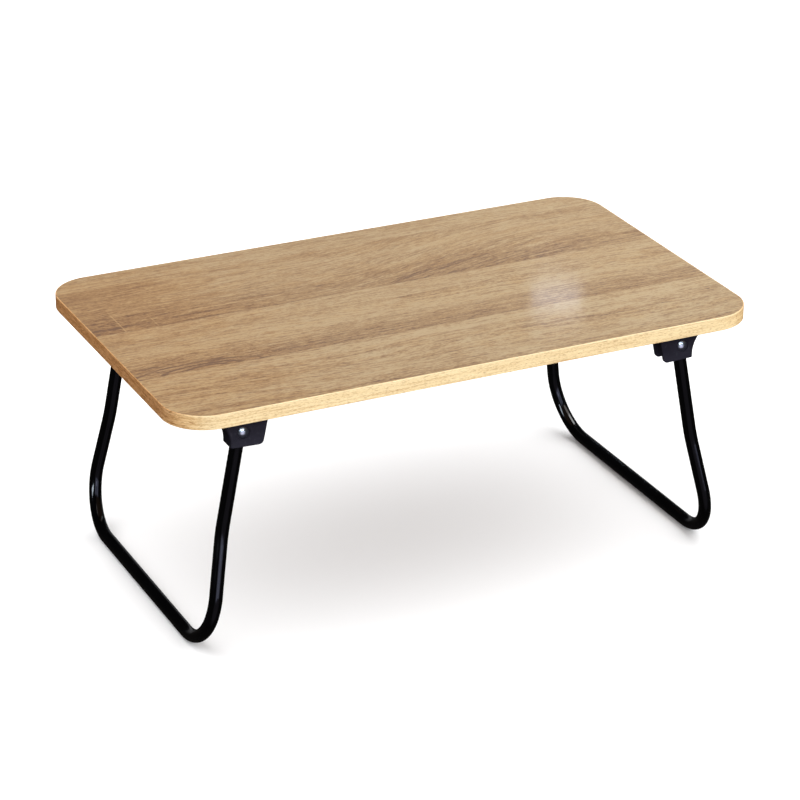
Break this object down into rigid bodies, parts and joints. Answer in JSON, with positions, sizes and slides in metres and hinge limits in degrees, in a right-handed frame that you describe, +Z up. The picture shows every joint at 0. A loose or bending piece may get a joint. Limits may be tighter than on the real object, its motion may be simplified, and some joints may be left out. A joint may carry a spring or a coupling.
{
  "type": "folding tray table",
  "caption": "Low tray table: rounded rectangular wood-grain board on two splayed U-shaped tube legs that fold flat inwards beneath it on riveted corner brackets.",
  "frame": {"origin": "on the floor, at the centre of the board's footprint", "axes": "+X along the board's length (grain direction), +Y across its depth towards the rear, +Z up; both legs stand open"},
  "size_m": [0.6, 0.355, 0.2576],
  "materials": {
    "fibreboard": "raw pressed fibreboard, matte",
    "oak_laminate": "printed light-oak plank grain along X, satin",
    "backing_laminate": "plainer printed wood grain, matte",
    "edge_banding": "printed light wood edge strip, satin",
    "powder_coated_steel": "glossy black powder coat on steel tube",
    "black_plastic": "satin moulded black plastic",
    "zinc_steel": "bright zinc plate",
    "washer_steel": "dull zinc plate",
    "screw_steel": "black phosphate steel"
  },
  "bodies": {
    "tabletop": {"board_core": "fibreboard", "top_laminate": "oak_laminate", "bottom_laminate": "backing_laminate", "edge_band": "edge_banding", "hinge_bracket_left_front": "black_plastic", "hinge_bracket_left_rear": "black_plastic", "hinge_bracket_right_front": "black_plastic", "hinge_bracket_right_rear": "black_plastic", "pivot_rivet_left_front": "zinc_steel", "pivot_rivet_left_rear": "zinc_steel", "pivot_rivet_right_front": "zinc_steel", "pivot_rivet_right_rear": "zinc_steel", "rivet_washer_left_front": "washer_steel", "rivet_washer_left_rear": "washer_steel", "rivet_washer_right_front": "washer_steel", "rivet_washer_right_rear": "washer_steel", "bracket_screws_left_front": "screw_steel", "bracket_screws_left_rear": "screw_steel", "bracket_screws_right_front": "screw_steel", "bracket_screws_right_rear": "screw_steel"},
    "left_leg": {"leg_frame_left": "powder_coated_steel"},
    "right_leg": {"leg_frame_right": "powder_coated_steel"}
  },
  "joints": [
    {"name": "left_leg_hinge", "type": "hinge", "parent": "tabletop", "child": "left_leg", "pos_m": [-0.2287, 0, 0.2242], "axis": [0, -1, 0], "range_deg": [0, 103.5]},
    {"name": "right_leg_hinge", "type": "hinge", "parent": "tabletop", "child": "right_leg", "pos_m": [0.2287, 0, 0.2242], "axis": [0, 1, 0], "range_deg": [0, 103.5]}
  ]
}
